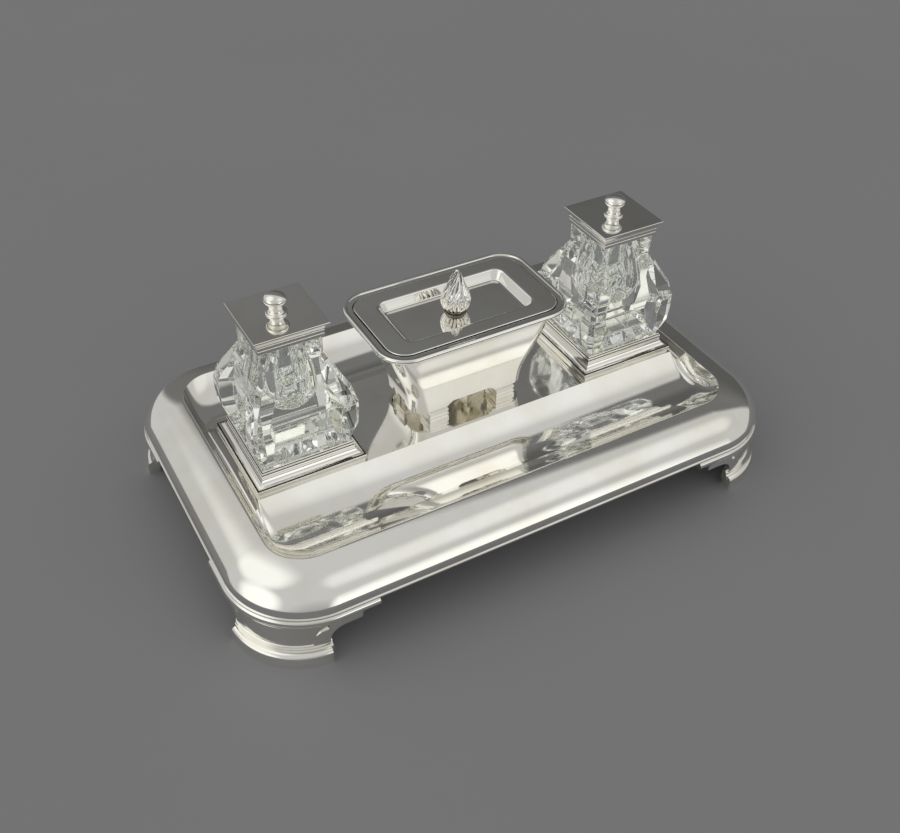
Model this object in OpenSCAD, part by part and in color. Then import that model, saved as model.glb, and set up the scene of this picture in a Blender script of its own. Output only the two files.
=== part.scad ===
// Desk inkstand: footed tray with two pen troughs, two square cut-glass ink
// bottles in galleries, and a lidded box with a flame finial. Millimetres.
// X is the long side, -Y is the front, Z is up, and the desk is Z = 0.

/* [Tray] */
// Length of the deck, crease to crease
deck_length = 283; // [270:1:330]
// Width of the deck, crease to crease
deck_width = 162; // [161:1:180]
// Plan radius of the crease at the corners
crease_radius = 20.5; // [14:0.5:26]
// Width of each pen trough
trough_width = 49; // [44:0.5:49.5]
// Width of the short gutter at each end of the platform
gutter_width = 8; // [7:0.5:10]
// Depth of the two pen troughs
trough_depth = 9; // [5:0.5:12]
// Depth of the two short gutters beside the platform
gutter_depth = 4; // [2:0.5:5]
// Width of the domed border, seen from above
border_run = 21.3; // [16:0.1:26]
// Height that the domed border falls
border_drop = 17.8; // [13:0.1:22]
// Width of the flat ledge below the dome
ledge_width = 2.7; // [2:0.1:4]
// Thickness of that ledge
ledge_t = 1; // [0.8:0.1:1.5]
// Thickness of the metal sheet
sheet_t = 1.4; // [1:0.1:2]

/* [Feet] */
// Height of the ledge underside above the desk
foot_height = 32.2; // [30:0.2:38]
// Height of the bead along the top of each foot
bead_height = 4.3; // [3:0.1:5]
// Distance that the bead stands out past the ledge
bead_out = 1.3; // [0.5:0.1:2.5]
// Height of the plinth at the bottom of each foot
plinth_height = 6; // [4:0.2:7]
// Distance that the plinth stands out past the leg
plinth_out = 4.4; // [3:0.1:5]
// Wall thickness of the feet
foot_wall = 2.2; // [1.8:0.1:3]
// Reach of the bead along the long side, from the corner centre
bead_reach_long = 20.4; // [12:0.2:26]
// Reach of the bead along the short side, from the corner centre
bead_reach_short = 18.7; // [12:0.2:26]
// Reach of the bracket wings, from the corner centre
wing_reach = 11.2; // [8:0.2:12]

/* [Galleries] */
// Side of each square gallery at the deck
gallery_side = 62; // [60:0.5:62]
// Height of the galleries
gallery_height = 12; // [9:0.5:13]
// Side of the square pocket in each gallery
pocket_side = 46; // [44:0.5:46.5]
// Gap between the glass and the pocket wall
pocket_gap = 0.4; // [0.3:0.05:0.8]
// Distance from the end of the platform to the centre of each gallery
gallery_inset = 31.7; // [31.2:0.1:33]

/* [Bottles] */
// Side of the glass bottles at the widest place
bottle_side = 59; // [55:0.5:61]
// Height of the glass bottles
bottle_height = 83.4; // [76:0.2:90]
// Side of the square glass neck
neck_side = 33; // [31:0.5:34]
// Radius of the round mouth
mouth_radius = 9; // [7:0.25:10]
// Radius of the ink well at its widest
well_radius = 13.8; // [12:0.2:16]
// Thickness of the neck collar
collar_t = 1.1; // [0.8:0.1:1.5]
// Height of the neck collar
collar_height = 3; // [2:0.1:4]

/* [Bottle lids] */
// Side of the square lid plate
lid_side = 40; // [39:0.5:46]
// Thickness of the lid plate
lid_t = 1.2; // [1:0.1:2]
// Height of the moulded skirt below the plate
skirt_height = 5; // [4:0.2:6]
// Gap between the skirt and the glass neck
skirt_gap = 0.5; // [0.3:0.05:0.9]
// Diameter of the ball of the knob
knob_diameter = 11.6; // [9:0.2:14]
// Height of the knob above the plate
knob_height = 11.6; // [9:0.2:14]
// Diameter of the threaded stems of knob and finial
stem_diameter = 3; // [2:0.1:3.6]
// Radial gap round the stems
stem_gap = 0.1; // [0.05:0.05:0.2]

/* [Box] */
// Length of the box over its rim
box_length = 115; // [110:0.5:118]
// Width of the box over its rim
box_width = 70; // [66:0.5:76]
// Plan radius of the rim
rim_radius = 17; // [16:0.5:20]
// Distance that each end of the box leans in from rim to base
box_taper_x = 22.3; // [20:0.1:24]
// Distance that each long side leans in
box_taper_y = 15.2; // [14:0.1:17]
// Height of the rim above the deck
box_height = 59.4; // [54:0.2:64]
// Width of the flat ring between the rim edge and the lid
rim_width = 5.2; // [4:0.1:5.5]
// Height of the four stepped box feet
box_foot_height = 7; // [6:0.2:8]
// Gap round the box lid
box_lid_gap = 0.4; // [0.3:0.05:0.6]
// Depth of the sunk panel in the box lid
panel_depth = 4.5; // [3:0.1:5]
// Height of the flame finial above its collar
finial_height = 25; // [20:0.2:28]
// Diameter of the flame at its widest
finial_diameter = 17.4; // [14:0.2:19]

/* [Hidden] */
metal = [0.79, 0.79, 0.76];
pale = [0.86, 0.86, 0.83];
glassy = [0.80, 0.88, 0.84, 0.6];
eps = 0.01;
deck_z = foot_height + ledge_t + border_drop;
ledge_z = foot_height + ledge_t;
corner_x = deck_length / 2 - crease_radius;
corner_y = deck_width / 2 - crease_radius;
platform_length = deck_length - 2 * gutter_width;
platform_width = deck_width - 2 * trough_width;
gallery_spacing = platform_length - 2 * gallery_inset;
// Seat of the pan inside the border
seat_w = 0.9;
seat_t = 1;
seat_z = deck_z - 7;
seam = 0.05;
pan_t = 1.8;
foot_cx = corner_x + 5.7;
foot_cy = corner_y + 5;
ledge_r = crease_radius + border_run + ledge_width;
bead_r = ledge_r + bead_out;
step_r = bead_r - 1.3;
wing_r = step_r - 1;
leg_r = wing_r - 7;
plinth_r = leg_r + plinth_out;
step_z = foot_height - bead_height - 1.5;
wing_z = step_z - 4.2;
ankle_r = 8.4;
ankle_z = wing_z - ankle_r;
mould_z = plinth_height + 2.6;
gallery_top = deck_z + gallery_height;
bottle_top = deck_z + bottle_height;
neck_h = neck_side / 2;
collar_top = bottle_top - 2.4;
collar_h = neck_h + collar_t;
lid_z = collar_top + skirt_height;
lid_top = lid_z + lid_t;
stem_r = stem_diameter / 2;
rim_top = deck_z + box_height;
rim_z = rim_top - 3.4;
rim_hx = box_length / 2;
rim_hy = box_width / 2;
rim_seat = rim_top - 2;
seat_in = rim_width + 4.3;
lid_hx = rim_hx - rim_width - box_lid_gap;
lid_hy = rim_hy - rim_width - box_lid_gap;
lid_r = rim_radius - rim_width - box_lid_gap;
lid_up = rim_top - 0.4;
panel_z = lid_up - panel_depth;
panel_hx = lid_hx - 13;
panel_hy = lid_hy - 10;
box_t = 1.4;
base_hx = rim_hx - box_taper_x;
base_hy = rim_hy - box_taper_y;
notch = base_hx - 20.7;
shell_hx = rim_hx - 7;
shell_hy = rim_hy - 5.5;
box_base = deck_z + box_foot_height;
box_floor = box_base + 4;
finial_z = panel_z + 2;

// Point list of an arc from a to b that leaves the chord by the angle w.
function bow(a, b, w, n) = let (
  d = b - a,
  s = norm(d) / (2 * sin(w)),
  t = atan2(d[1], d[0]) + 90,
  c = (a + b) / 2 - s * cos(w) * [cos(t), sin(t)]
) [for (k = [0 : n]) c + s * [cos(t + w - 2 * w * k / n), sin(t + w - 2 * w * k / n)]];

// Loop of points round a rounded rectangle, from the +X side, seen from above
// to the left.
function ring(hx, hy, r, z, n = 8) = [
  for (c = [0 : 3], k = [0 : n]) let (
    a = 90 * c + 90 * k / n,
    sx = (c == 0 || c == 3) ? 1 : -1,
    sy = (c < 2) ? 1 : -1
  ) [sx * (hx - r) + r * cos(a), sy * (hy - r) + r * sin(a), z]
];

// Solid through a stack of loops with equal numbers of points.
module loft(loops) {
  n = len(loops[0]);
  m = len(loops);
  low = [for (i = [0 : n - 1]) i];
  high = [for (i = [n - 1 : -1 : 0]) (m - 1) * n + i];
  sides = [
    for (j = [0 : m - 2], i = [0 : n - 1]) let (
      a = j * n + i,
      b = j * n + (i + 1) % n
    ) each [[a, a + n, b + n], [a, b + n, b]]
  ];
  polyhedron([for (l = loops) each l], concat([low], sides, [high]));
}

// Straight piece of a profile of (out, z) points, along X, centred on Y = 0.
module run(pts, length) {
  rotate([90, 0, 90])
    linear_extrude(length, center = true)
      polygon(pts);
}

// Profile of (out, z) points carried round a rounded rectangle.
module frame(hx, hy, r, pts) {
  for (s = [0, 180]) {
    rotate(s)
      run([for (p = pts) [hy + p[0], p[1]]], 2 * (hx - r));
    rotate(s - 90)
      run([for (p = pts) [hx + p[0], p[1]]], 2 * (hy - r));
  }
  for (c = [0 : 3]) {
    translate([(c == 0 || c == 3 ? 1 : -1) * (hx - r), (c < 2 ? 1 : -1) * (hy - r), 0])
      rotate(90 * c)
        rotate_extrude(angle = 90, $fn = 128)
          polygon([for (p = pts) [r + p[0], p[1]]]);
  }
}

// Square moulded block with mitred corners, from a list of (half side, z).
module mitred(pts) {
  outline = concat(pts, [for (i = [len(pts) - 1 : -1 : 0]) [-pts[i][0], pts[i][1]]]);
  big = 2 * max([for (p = pts) p[0]]) + 2;
  intersection() {
    rotate([90, 0, 90])
      linear_extrude(big, center = true)
        polygon(outline);
    rotate([90, 0, 0])
      linear_extrude(big, center = true)
        polygon(outline);
  }
}

module square_hole(half, z0, z1) {
  translate([-half, -half, z0])
    cube([2 * half, 2 * half, z1 - z0]);
}

module tray_border() {
  outer = bow([0, deck_z], [border_run, ledge_z - 0.2], 28, 18);
  inner = bow([sheet_t, deck_z - 1.3 * sheet_t], [border_run - 1.3 * sheet_t, foot_height], 26, 12);
  web = concat(
    outer,
    [
      [border_run + ledge_width, ledge_z - 0.2],
      [border_run + ledge_width, foot_height]
    ],
    [for (i = [len(inner) - 1 : -1 : 0]) inner[i]],
    [
      [sheet_t, seat_z - seat_t],
      [-seat_w, seat_z - seat_t],
      [-seat_w, seat_z],
      [0, seat_z]
    ]
  );
  color(metal)
    frame(deck_length / 2, deck_width / 2, crease_radius, web);
}

// Outer edge of the pan and the platform edge that each point leads to.
function pan_outer() = [
  for (c = [0 : 3], k = [0 : 12]) let (
    sx = (c == 0 || c == 3) ? 1 : -1,
    sy = (c < 2) ? 1 : -1,
    j = (c % 2 == 0) ? k : 12 - k,
    r = crease_radius - seam,
    a = 90 * max(0, j - 2) / 10,
    y = corner_y + r * sin(a) - (j < 2 ? (2 - j) * 10 : 0)
  ) [sx * (corner_x + r * cos(a)), sy * y]
];

function pan_inner() = [
  for (c = [0 : 3], k = [0 : 12]) let (
    sx = (c == 0 || c == 3) ? 1 : -1,
    sy = (c < 2) ? 1 : -1,
    j = (c % 2 == 0) ? k : 12 - k,
    a = 90 * j / 12
  ) [sx * (platform_length / 2 - 0.6 + 0.6 * cos(a)), sy * (platform_width / 2 - 0.6 + 0.6 * sin(a))]
];

function pan_depth(w) = min(trough_depth, gutter_depth * sqrt(w / 8));

function pan_loop(t, drop) = let (o = pan_outer(), i = pan_inner()) [
  for (k = [0 : len(o) - 1]) let (
    p = o[k] + t * (i[k] - o[k]),
    z = deck_z - 4 * t * (1 - t) * pan_depth(norm(i[k] - o[k]))
  ) [p[0], p[1], z - drop]
];

function flat_loop(t, z) = let (l = pan_loop(t, 0)) [for (p = l) [p[0], p[1], z]];

module tray_well() {
  steps = 12;
  under = [for (k = [steps : -1 : 1]) pan_loop(k / steps, pan_t)];
  over = [for (k = [0 : steps]) pan_loop(k / steps, 0)];
  color(metal)
    union() {
      loft(concat(under, [pan_loop(0.03, 2.4), pan_loop(0, 1.2)], over));
      frame(
        deck_length / 2,
        deck_width / 2,
        crease_radius,
        [[-seam, deck_z - 0.6], [-seam, seat_z], [-seat_w, seat_z], [-seat_w, deck_z - 3.2]]
      );
    }
}

// Profile of (radius, z) points round a corner centre, with straight ends.
module corner_band(pts, reach_x, reach_y) {
  translate([corner_x, corner_y, 0]) {
    rotate_extrude(angle = 90, $fn = 128)
      polygon(pts);
    translate([-reach_x, 0, 0])
      rotate([90, 0, 90])
        linear_extrude(reach_x)
          polygon(pts);
    rotate([90, 0, 0])
      linear_extrude(reach_y)
        polygon(pts);
  }
}

// Elevation of one bracket wing: reach from the corner centre to the leg.
module wing_side(shift) {
  far = shift + ankle_r + 8.4;
  arc = [for (a = [90 : -10 : 0]) [shift + ankle_r * cos(a), ankle_z + ankle_r * sin(a)]];
  back = [for (a = [0 : 10 : 90]) [far - 7.6 + 7.6 * cos(a), ankle_z + ankle_r * sin(a)]];
  polygon(concat(
    [[-wing_reach, step_z + eps], [-wing_reach, wing_z]],
    arc,
    [[shift + ankle_r, mould_z + 3.5], [far, mould_z + 3.5]],
    back,
    [[far - 9.5, step_z + eps]]
  ));
}

module foot() {
  wall_r = wing_r - foot_wall;
  bead = bow([bead_r - 1.2, foot_height - bead_height], [bead_r - 1.2, foot_height], -58, 8);
  corner_band(
    concat([[wall_r - 0.6, foot_height - bead_height]], bead, [[wall_r - 0.6, foot_height]]),
    bead_reach_long,
    bead_reach_short
  );
  corner_band(
    [
      [wall_r, step_z],
      [step_r, step_z],
      [step_r, foot_height - bead_height + eps],
      [wall_r, foot_height - bead_height + eps]
    ],
    wing_reach,
    wing_reach
  );
  intersection() {
    corner_band(
      [[wall_r, mould_z], [wing_r, mould_z], [wing_r, step_z + eps], [wall_r, step_z + eps]],
      wing_reach,
      wing_reach
    );
    union() {
      translate([corner_x, corner_y + wing_r + 5, 0])
        rotate([90, 0, 0])
          linear_extrude(24)
            wing_side(-1.9);
      translate([corner_x + wing_r + 5 - 24, corner_y, 0])
        rotate([90, 0, 90])
          linear_extrude(24)
            wing_side(0);
    }
  }
  translate([foot_cx, foot_cy, 0]) {
    // leg
    rotate_extrude(start = 5, angle = 83, $fn = 128)
      polygon([
        [leg_r - foot_wall - 0.2, mould_z],
        [leg_r, mould_z],
        [leg_r - 0.1, mould_z + 4],
        [leg_r + 0.1, mould_z + 9],
        [leg_r + 0.6, step_z + eps],
        [leg_r - foot_wall - 0.2, step_z + eps]
      ]);
    // fine steps above the plinth
    rotate_extrude(start = 2.5, angle = 88, $fn = 128)
      polygon([
        [leg_r - foot_wall - 0.2, plinth_height],
        [plinth_r - 2.4, plinth_height],
        [plinth_r - 2.4, mould_z + 1],
        [plinth_r - 3.1, mould_z + 1],
        [plinth_r - 3.1, mould_z + 2.2],
        [plinth_r - 3.8, mould_z + 2.2],
        [plinth_r - 3.8, mould_z + 3.4],
        [leg_r - 0.2, mould_z + 3.9],
        [leg_r - foot_wall - 0.2, mould_z + 3.9]
      ]);
    // plinth
    rotate_extrude(start = 4.6, angle = 84, $fn = 128)
      polygon(concat(
        [[leg_r - foot_wall - 0.2, 0], [plinth_r, 0]],
        bow([plinth_r, plinth_height], [plinth_r - 2.4, mould_z], -35, 6),
        [[leg_r - foot_wall - 0.2, mould_z]]
      ));
  }
}

module foot_front_left() {
  color(pale)
    rotate(180)
      foot();
}

module foot_back_right() {
  color(pale)
    foot();
}

module foot_front_right() {
  color(pale)
    mirror([0, 1, 0])
      foot();
}

module foot_back_left() {
  color(pale)
    mirror([1, 0, 0])
      foot();
}

module gallery() {
  g = gallery_side / 2;
  t = pocket_side / 2 + 2.3;
  h = gallery_height;
  ovolo = bow([g - 1.2, 2.2], [t + 2.2, 0.62 * h], 22, 8);
  steps = concat(
    [[g, 0], [g, 1.2], [g - 0.6, 1.2], [g - 0.6, 2.2]],
    ovolo,
    [
      [t + 1.6, 0.62 * h],
      [t + 1.6, 0.72 * h],
      [t + 1.1, 0.72 * h],
      [t + 1.1, 0.82 * h],
      [t + 0.5, 0.82 * h],
      [t + 0.5, 0.92 * h],
      [t, 0.92 * h],
      [t, h]
    ]
  );
  color(pale)
    difference() {
      mitred([for (p = steps) [p[0], deck_z + p[1]]]);
      square_hole(pocket_side / 2, deck_z - 1, gallery_top + 1);
    }
}

module left_gallery() {
  translate([-gallery_spacing / 2, 0, 0])
    gallery();
}

module right_gallery() {
  translate([gallery_spacing / 2, 0, 0])
    gallery();
}

// Half side of the square outline of the glass at a height fraction k.
function glass_h(k) = bottle_side / 2 * lookup(k, [
  [0, 0.855], [0.01, 0.866], [0.165, 0.983], [0.28, 1], [0.38, 1], [0.51, 0.915], [0.61, 0.78],
  [0.765, (neck_h + 0.5) / bottle_side * 2], [0.87, neck_side / bottle_side], [1, neck_side / bottle_side]
]);

module ink_bottle() {
  w = bottle_side / 2;
  base_h = pocket_side / 2 - pocket_gap;
  z0 = gallery_top + 0.4;
  up = bottle_top - z0;
  levels = [0.01, 0.165, 0.28, 0.38, 0.51, 0.61, 0.765];
  outline = concat(
    [[base_h, deck_z], [base_h, z0]],
    [for (k = levels) [glass_h(k), z0 + k * up]],
    [[neck_h, z0 + 0.87 * up], [neck_h, bottle_top]]
  );
  fins = concat(
    [[1.425 * base_h, deck_z], [1.425 * base_h, z0]],
    [for (k = levels) [1.414 * glass_h(k) - 2.45, z0 + k * up]],
    [[1.42 * neck_h, z0 + 0.87 * up], [1.42 * neck_h, bottle_top]]
  );
  inside = 0.718 * w;
  flat = 0.478 * w;
  reach = w + 3;
  color(glassy)
    difference() {
      mitred(outline);
      difference() {
        translate([0, 0, (deck_z + bottle_top) / 2])
          cube([100, 100, bottle_top - deck_z + 2], center = true);
        rotate(45)
          mitred(fins);
      }
      // flutes between the four fins
      for (s = [0 : 90 : 270]) {
        rotate(s)
          intersection() {
            linear_extrude(bottle_top)
              polygon([
                [-flat, -inside],
                [flat, -inside],
                [flat + reach - inside, -reach],
                [-flat - reach + inside, -reach]
              ]);
            rotate([90, 0, 90])
              linear_extrude(4 * w, center = true)
                polygon([
                  [-inside, z0 + 0.1 * up],
                  [-inside, z0 + 0.8 * up],
                  [-reach, z0 + 0.8 * up],
                  [-reach, z0 + 0.1 * up - 0.7 * (reach - inside)]
                ]);
          }
      }
      rotate_extrude($fn = 96)
        polygon(concat(
          [[0, bottle_top + 1], [0, z0 + 0.08 * up]],
          bow([0.45 * well_radius, z0 + 0.09 * up], [well_radius, z0 + 0.26 * up], -30, 8),
          bow([well_radius, z0 + 0.27 * up], [mouth_radius, z0 + 0.62 * up], -12, 8),
          [[mouth_radius, bottle_top + 1]]
        ));
    }
}

module neck_collar() {
  color(pale)
    difference() {
      mitred([
        [collar_h - 0.4, collar_top - collar_height],
        [collar_h, collar_top - collar_height + 0.4],
        [collar_h, collar_top - 0.9],
        [collar_h - 0.2, collar_top - 0.7],
        [collar_h - 0.2, collar_top]
      ]);
      square_hole(neck_h, collar_top - collar_height - 1, collar_top + 1);
    }
}

module lid_plate() {
  h = lid_side / 2;
  color(metal)
    difference() {
      mitred([
        [h - 0.3, lid_z],
        [h, lid_z + 0.3],
        [h, lid_top - 0.3],
        [h - 0.3, lid_top]
      ]);
      translate([0, 0, lid_z - 1])
        cylinder(h = lid_t + 2, r = stem_r + stem_gap, $fn = 32);
    }
}

module lid_skirt() {
  inner = neck_h + skirt_gap;
  top = lid_side / 2 - 1.7;
  low = inner + 0.7;
  s = skirt_height;
  color(pale)
    difference() {
      mitred([
        [low, collar_top],
        [low, collar_top + 0.24 * s],
        [low - 0.3, collar_top + 0.28 * s],
        [low - 0.3, collar_top + 0.4 * s],
        [low, collar_top + 0.44 * s],
        [top - 0.2, collar_top + 0.8 * s],
        [top, collar_top + 0.84 * s],
        [top, lid_z]
      ]);
      square_hole(inner, collar_top - 1, lid_z + 1);
    }
}

// Ring under the plate that enters the mouth of the bottle.
module lid_spigot() {
  color(metal)
    translate([0, 0, lid_z - skirt_height - 3])
      difference() {
        cylinder(h = skirt_height + 3, r = mouth_radius - 0.4, $fn = 64);
        translate([0, 0, -1])
          cylinder(h = skirt_height + 5, r = mouth_radius - 1.4, $fn = 64);
      }
}

module knob() {
  r = knob_diameter / 2;
  h = knob_height;
  ball = [for (a = [-62 : 8 : 90]) [max(0, r * cos(a)), 0.735 * h + 0.265 * h * sin(a)]];
  color(pale)
    translate([0, 0, lid_top])
      rotate_extrude($fn = 96)
        polygon(concat(
          [[0, -lid_t - 3.2], [stem_r, -lid_t - 3.2], [stem_r, 0]],
          [[0.82 * r, 0], [0.93 * r, 0.05 * h], [0.9 * r, 0.11 * h]],
          bow([0.8 * r, 0.14 * h], [0.58 * r, 0.35 * h], -18, 6),
          [
            [0.82 * r, 0.37 * h],
            [0.86 * r, 0.4 * h],
            [0.8 * r, 0.43 * h],
            [0.6 * r, 0.45 * h],
            [0.56 * r, 0.48 * h]
          ],
          ball
        ));
}

module stem_nut(z) {
  translate([0, 0, z])
    difference() {
      cylinder(h = 2.2, r = 3.4, $fn = 6);
      translate([0, 0, -1])
        cylinder(h = 4.2, r = stem_r, $fn = 32);
    }
}

module knob_nut() {
  color(metal)
    stem_nut(lid_z - 2.2);
}

module at_left() {
  translate([-gallery_spacing / 2, 0, 0])
    children();
}

module at_right() {
  translate([gallery_spacing / 2, 0, 0])
    children();
}

module left_bottle() {
  at_left()
    ink_bottle();
}

module left_neck_collar() {
  at_left()
    neck_collar();
}

module left_lid_plate() {
  at_left()
    lid_plate();
}

module left_lid_skirt() {
  at_left()
    lid_skirt();
}

module left_lid_spigot() {
  at_left()
    lid_spigot();
}

module left_knob() {
  at_left()
    knob();
}

module left_knob_nut() {
  at_left()
    knob_nut();
}

module right_bottle() {
  at_right()
    ink_bottle();
}

module right_neck_collar() {
  at_right()
    neck_collar();
}

module right_lid_plate() {
  at_right()
    lid_plate();
}

module right_lid_skirt() {
  at_right()
    lid_skirt();
}

module right_lid_spigot() {
  at_right()
    lid_spigot();
}

module right_knob() {
  at_right()
    knob();
}

module right_knob_nut() {
  at_right()
    knob_nut();
}

// Half sizes and corner radius of the box wall at a height fraction k.
function wall(k) = lookup(k, [[0, 0], [0.18, 0.06], [0.32, 0.23], [0.5, 0.47], [0.72, 0.75], [1, 1]]);

function shell_loop(k, t) = let (
  f = wall(k),
  hx = base_hx + (shell_hx - base_hx) * f,
  hy = base_hy + (shell_hy - base_hy) * f,
  z = box_base + (rim_z - box_base) * k
) ring(hx - t, hy - t, 8.5 + 4.5 * f - t, max(z, (t > 0) ? box_floor + box_t : 0));

module box_body() {
  ks = [0, 0.06, 0.12, 0.18, 0.25, 0.32, 0.41, 0.5, 0.61, 0.72, 0.86, 1];
  color(pale)
    difference() {
      loft(concat(
        [for (k = ks) shell_loop(k, 0)],
        [for (i = [len(ks) - 1 : -1 : 2]) shell_loop(ks[i], box_t)]
      ));
      loft([
        ring(base_hx - box_t, base_hy - box_t, 7, box_base - 1),
        ring(base_hx - box_t, base_hy - box_t, 7, box_floor)
      ]);
      translate([-notch, -40, box_base - 1])
        cube([2 * notch, 80, 2.4]);
      translate([-notch + 2, -40, box_base])
        cube([2 * notch - 4, 80, 2.6]);
      translate([-60, -7.5, box_base - 1])
        cube([120, 15, 2.4]);
    }
}

module box_rim() {
  color(pale)
    frame(
      rim_hx,
      rim_hy,
      rim_radius,
      concat(
        [[-seat_in, rim_z], [-3.4, rim_z], [-1.4, rim_z + 0.5], [-0.5, rim_z + 1.1]],
        bow([-0.2, rim_z + 1.4], [-2, rim_top], -70, 8),
        [
          [-2.5, rim_top - 0.3],
          [-rim_width + 0.3, rim_top - 0.3],
          [-rim_width, rim_top - 0.6],
          [-rim_width, rim_seat],
          [-seat_in, rim_seat]
        ]
      )
    );
}

// Stepped block foot of the box, with its outer corner at the origin.
module box_foot() {
  h = box_foot_height;
  sizes = [[0, 12.2, 0, 0.26], [0.5, 11.2, 0.26, 0.44], [0, 12.2, 0.44, 0.6], [0.6, 11, 0.6, 0.8], [0.2, 11.8, 0.8, 1]];
  color(pale)
    union() {
      for (s = sizes) {
        translate([-s[0] - s[1], -s[0] - s[1], deck_z + s[2] * h])
          cube([s[1], s[1], (s[3] - s[2]) * h + (s[3] < 1 ? eps : 0)]);
      }
      translate([-10.6, -12.4, box_base - eps])
        cube([8.6, 8.2, box_floor - box_base + eps]);
    }
}

module box_foot_back_right() {
  translate([base_hx - 7.6, base_hy + 2.2, 0])
    box_foot();
}

module box_foot_front_left() {
  rotate(180)
    translate([base_hx - 7.6, base_hy + 2.2, 0])
      box_foot();
}

module box_foot_front_right() {
  mirror([0, 1, 0])
    translate([base_hx - 7.6, base_hy + 2.2, 0])
      box_foot();
}

module box_foot_back_left() {
  mirror([1, 0, 0])
    translate([base_hx - 7.6, base_hy + 2.2, 0])
      box_foot();
}

module box_lid() {
  t = 1.2;
  color(metal)
    difference() {
      loft([
        ring(panel_hx - 3.2 + t, panel_hy - 3.2 + t, 3, panel_z - t),
        ring(panel_hx - 2.4 + t, panel_hy - 2.4 + t, 4, panel_z - 0.8 * t),
        ring(panel_hx + t + 0.2, panel_hy + t + 0.2, 5.6, rim_seat - 0.5),
        ring(panel_hx + t + 1, panel_hy + t + 1, 6.2, rim_seat),
        ring(lid_hx - 0.2, lid_hy - 0.2, lid_r - 0.2, rim_seat),
        ring(lid_hx, lid_hy, lid_r, rim_seat + 0.2),
        ring(lid_hx, lid_hy, lid_r, lid_up - 0.4),
        ring(lid_hx - 0.4, lid_hy - 0.4, lid_r - 0.4, lid_up),
        ring(panel_hx + 1.4, panel_hy + 1.4, 6.2, lid_up),
        ring(panel_hx + 0.5, panel_hy + 0.5, 5.6, lid_up - 0.2),
        ring(panel_hx, panel_hy, 5.2, lid_up - 0.8),
        ring(panel_hx - 2.2, panel_hy - 2.2, 4, panel_z + 0.7),
        ring(panel_hx - 2.6, panel_hy - 2.6, 3.6, panel_z + 0.2),
        ring(panel_hx - 3.2, panel_hy - 3.2, 3, panel_z)
      ]);
      translate([0, 0, panel_z - 4])
        cylinder(h = 8, r = stem_r + stem_gap, $fn = 32);
    }
}

module finial_collar() {
  color(metal)
    rotate_extrude($fn = 64)
      polygon([
        [stem_r + stem_gap, panel_z],
        [6, panel_z],
        [6, panel_z + 0.6],
        [5, panel_z + 0.9],
        [5.5, panel_z + 1.4],
        [5.2, finial_z],
        [stem_r + stem_gap, finial_z]
      ]);
}

// Radius of the flame at a height fraction k, and its fluted, twisted section.
function flame_r(k) = lookup(k, [
  [0, 0.6], [0.05, 0.78], [0.11, 0.9], [0.18, 0.98], [0.25, 1], [0.33, 0.96],
  [0.43, 0.86], [0.55, 0.69], [0.67, 0.52], [0.79, 0.35], [0.9, 0.19], [1, 0.05]
]);

function flame_loop(k) = [
  for (i = [0 : 35]) let (
    a = 10 * i,
    r = flame_r(k) * finial_diameter / 2 * (1 - 0.09 * (1 - cos(9 * (a - 70 * k))))
  ) [r * cos(a), r * sin(a), finial_z + k * finial_height]
];

module flame_finial() {
  color(pale)
    union() {
      loft([for (k = [0, 0.05, 0.11, 0.18, 0.25, 0.33, 0.43, 0.55, 0.67, 0.79, 0.9, 1]) flame_loop(k)]);
      translate([0, 0, panel_z - 5])
        cylinder(h = finial_z - panel_z + 6, r = stem_r, $fn = 32);
    }
}

module finial_nut() {
  color(metal)
    stem_nut(panel_z - 3.4);
}

tray_border();
tray_well();
foot_front_left();
foot_front_right();
foot_back_left();
foot_back_right();
left_gallery();
right_gallery();
box_body();
box_rim();
box_foot_front_left();
box_foot_front_right();
box_foot_back_left();
box_foot_back_right();
box_lid();
finial_collar();
flame_finial();
finial_nut();
left_bottle();
left_neck_collar();
left_lid_plate();
left_lid_skirt();
left_lid_spigot();
left_knob();
left_knob_nut();
right_bottle();
right_neck_collar();
right_lid_plate();
right_lid_skirt();
right_lid_spigot();
right_knob();
right_knob_nut();
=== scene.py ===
import math

import bpy
from mathutils import Matrix, Vector


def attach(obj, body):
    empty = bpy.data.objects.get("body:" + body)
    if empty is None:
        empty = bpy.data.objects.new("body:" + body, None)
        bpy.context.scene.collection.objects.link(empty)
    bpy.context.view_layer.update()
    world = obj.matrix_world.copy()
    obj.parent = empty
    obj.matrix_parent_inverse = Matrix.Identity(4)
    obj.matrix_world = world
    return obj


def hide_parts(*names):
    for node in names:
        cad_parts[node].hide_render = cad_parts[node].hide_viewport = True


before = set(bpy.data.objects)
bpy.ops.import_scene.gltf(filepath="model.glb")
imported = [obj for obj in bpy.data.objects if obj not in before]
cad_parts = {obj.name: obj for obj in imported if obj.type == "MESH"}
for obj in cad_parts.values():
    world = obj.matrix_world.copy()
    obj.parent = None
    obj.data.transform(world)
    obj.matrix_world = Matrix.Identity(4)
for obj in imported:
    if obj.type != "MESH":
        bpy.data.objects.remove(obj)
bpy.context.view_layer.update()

mm = 0.001


def clearSelection():
    if bpy.context.object and bpy.context.object.mode != "OBJECT":
        bpy.ops.object.mode_set(mode="OBJECT")
    bpy.ops.object.select_all(action="DESELECT")


def editAll(piece):
    clearSelection()
    piece.select_set(True)
    bpy.context.view_layer.objects.active = piece
    bpy.ops.object.mode_set(mode="EDIT")
    bpy.ops.mesh.select_all(action="SELECT")


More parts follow.
